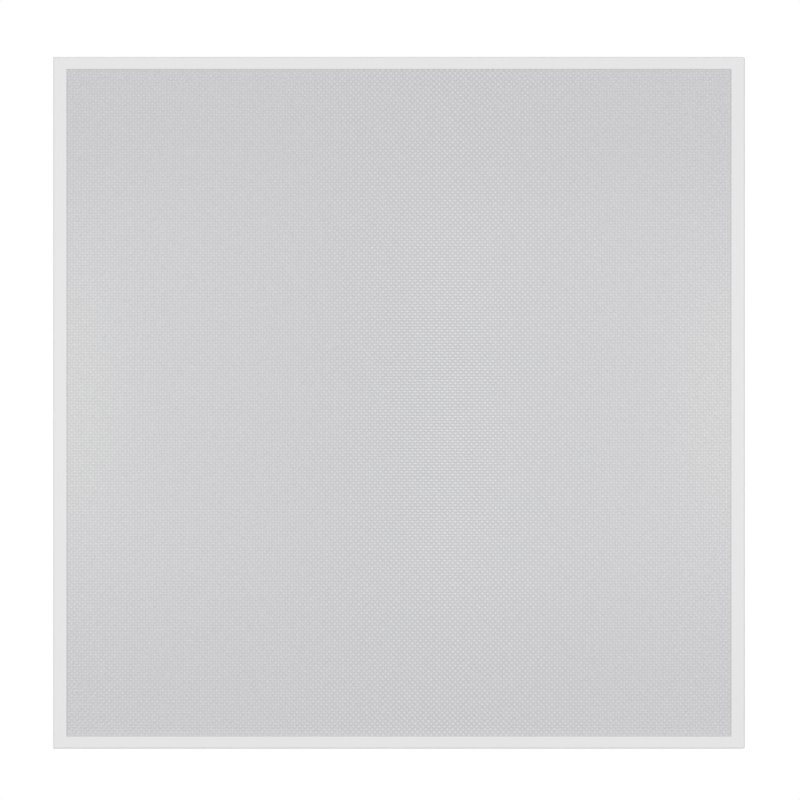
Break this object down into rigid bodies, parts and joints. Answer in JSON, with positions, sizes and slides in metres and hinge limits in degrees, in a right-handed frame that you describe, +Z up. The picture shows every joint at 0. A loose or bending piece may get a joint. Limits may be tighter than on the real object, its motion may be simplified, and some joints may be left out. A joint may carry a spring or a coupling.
{
  "type": "recessed led panel light",
  "caption": "Square recessed ceiling light: white folded steel frame, prismatic lens, LED boards, rear driver with hinged terminal lids, swing-out ceiling grid clips.",
  "frame": {"origin": "middle of the front lip's face, which rests on the ceiling grid", "axes": "+Z up into the ceiling void, so the lens faces -Z; +X towards the removable end rail"},
  "size_m": [0.595, 0.595, 0.068],
  "materials": {
    "white_steel": "white powder coat, fine satin texture",
    "prismatic_lens": "translucent moulded plastic, small pyramids outside",
    "led_board": "white solder mask on an aluminium board",
    "led_chip": "white package with yellow phosphor",
    "white_nylon": "moulded nylon",
    "red_insulation": "extruded wire insulation",
    "black_insulation": "extruded wire insulation",
    "black_rubber": "moulded rubber",
    "zinc_steel": "bright zinc plating",
    "driver_case": "white moulded polycarbonate, fine spark texture",
    "driver_pcb": "green solder mask",
    "ferrite": "ferrite core with taped winding",
    "capacitor_sleeve": "shrink sleeve",
    "copper_winding": "enamelled copper wire",
    "terminal_grey": "grey moulded polyamide",
    "terminal_button": "slate blue moulded polyamide"
  },
  "bodies": {
    "panel_body": {"body_tray": "white_steel", "end_rail": "white_steel", "diffuser": "prismatic_lens", "led_board_1": "led_board", "led_board_2": "led_board", "led_board_3": "led_board", "led_board_4": "led_board", "led_board_5": "led_board", "led_board_6": "led_board", "led_row_1": "led_chip", "led_row_2": "led_chip", "led_row_3": "led_chip", "led_row_4": "led_chip", "led_row_5": "led_chip", "led_row_6": "led_chip", "board_rivets": "white_nylon", "board_connectors": "white_nylon", "jumper_leads_plus": "red_insulation", "output_lead_plus": "red_insulation", "jumper_leads_minus": "black_insulation", "output_lead_minus": "black_insulation", "lead_grommet": "black_rubber", "clip_rivets": "zinc_steel", "suspension_inserts": "zinc_steel", "end_rail_screws": "zinc_steel", "driver_mount_screws": "zinc_steel", "driver_cover_screws": "zinc_steel", "cable_clamp_screws": "zinc_steel", "driver_base": "driver_case", "driver_cover": "driver_case", "cable_clamp_bar": "driver_case", "driver_board": "driver_pcb", "driver_transformer": "ferrite", "driver_capacitors": "capacitor_sleeve", "driver_choke": "copper_winding", "mains_terminal": "terminal_grey", "output_terminal": "terminal_grey"},
    "grid_clip_1": {"grid_clip_1": "zinc_steel"},
    "grid_clip_2": {"grid_clip_2": "zinc_steel"},
    "grid_clip_3": {"grid_clip_3": "zinc_steel"},
    "grid_clip_4": {"grid_clip_4": "zinc_steel"},
    "mains_lid": {"mains_lid": "driver_case"},
    "output_lid": {"output_lid": "driver_case"},
    "mains_button_live": {"mains_button_live": "terminal_button"},
    "mains_button_neutral": {"mains_button_neutral": "terminal_button"},
    "output_button_plus": {"output_button_plus": "terminal_button"},
    "output_button_minus": {"output_button_minus": "terminal_button"}
  },
  "joints": [
    {"name": "grid_clip_1_swing", "type": "hinge", "parent": "panel_body", "child": "grid_clip_1", "pos_m": [-0.2, -0.2855, 0.0388], "axis": [0, 0, -1], "range_deg": [0, 90]},
    {"name": "grid_clip_2_swing", "type": "hinge", "parent": "panel_body", "child": "grid_clip_2", "pos_m": [-0.2, 0.2855, 0.0388], "axis": [0, 0, 1], "range_deg": [0, 90]},
    {"name": "grid_clip_3_swing", "type": "hinge", "parent": "panel_body", "child": "grid_clip_3", "pos_m": [0.2, -0.2855, 0.0388], "axis": [0, 0, 1], "range_deg": [0, 90]},
    {"name": "grid_clip_4_swing", "type": "hinge", "parent": "panel_body", "child": "grid_clip_4", "pos_m": [0.2, 0.2855, 0.0388], "axis": [0, 0, -1], "range_deg": [0, 90]},
    {"name": "mains_lid_hinge", "type": "hinge", "parent": "panel_body", "child": "mains_lid", "pos_m": [-0.0524, 0, 0.064], "axis": [0, 1, 0], "range_deg": [0, 90]},
    {"name": "output_lid_hinge", "type": "hinge", "parent": "panel_body", "child": "output_lid", "pos_m": [0.0524, 0, 0.064], "axis": [0, -1, 0], "range_deg": [0, 90]},
    {"name": "mains_button_live_press", "type": "slide", "parent": "panel_body", "child": "mains_button_live", "axis": [0, 0, -1], "range_m": [0, 0.0016], "stiffness_N_per_m": 60},
    {"name": "mains_button_neutral_press", "type": "slide", "parent": "panel_body", "child": "mains_button_neutral", "axis": [0, 0, -1], "range_m": [0, 0.0016], "stiffness_N_per_m": 60},
    {"name": "output_button_plus_press", "type": "slide", "parent": "panel_body", "child": "output_button_plus", "axis": [0, 0, -1], "range_m": [0, 0.0016], "stiffness_N_per_m": 60},
    {"name": "output_button_minus_press", "type": "slide", "parent": "panel_body", "child": "output_button_minus", "axis": [0, 0, -1], "range_m": [0, 0.0016], "stiffness_N_per_m": 60}
  ]
}
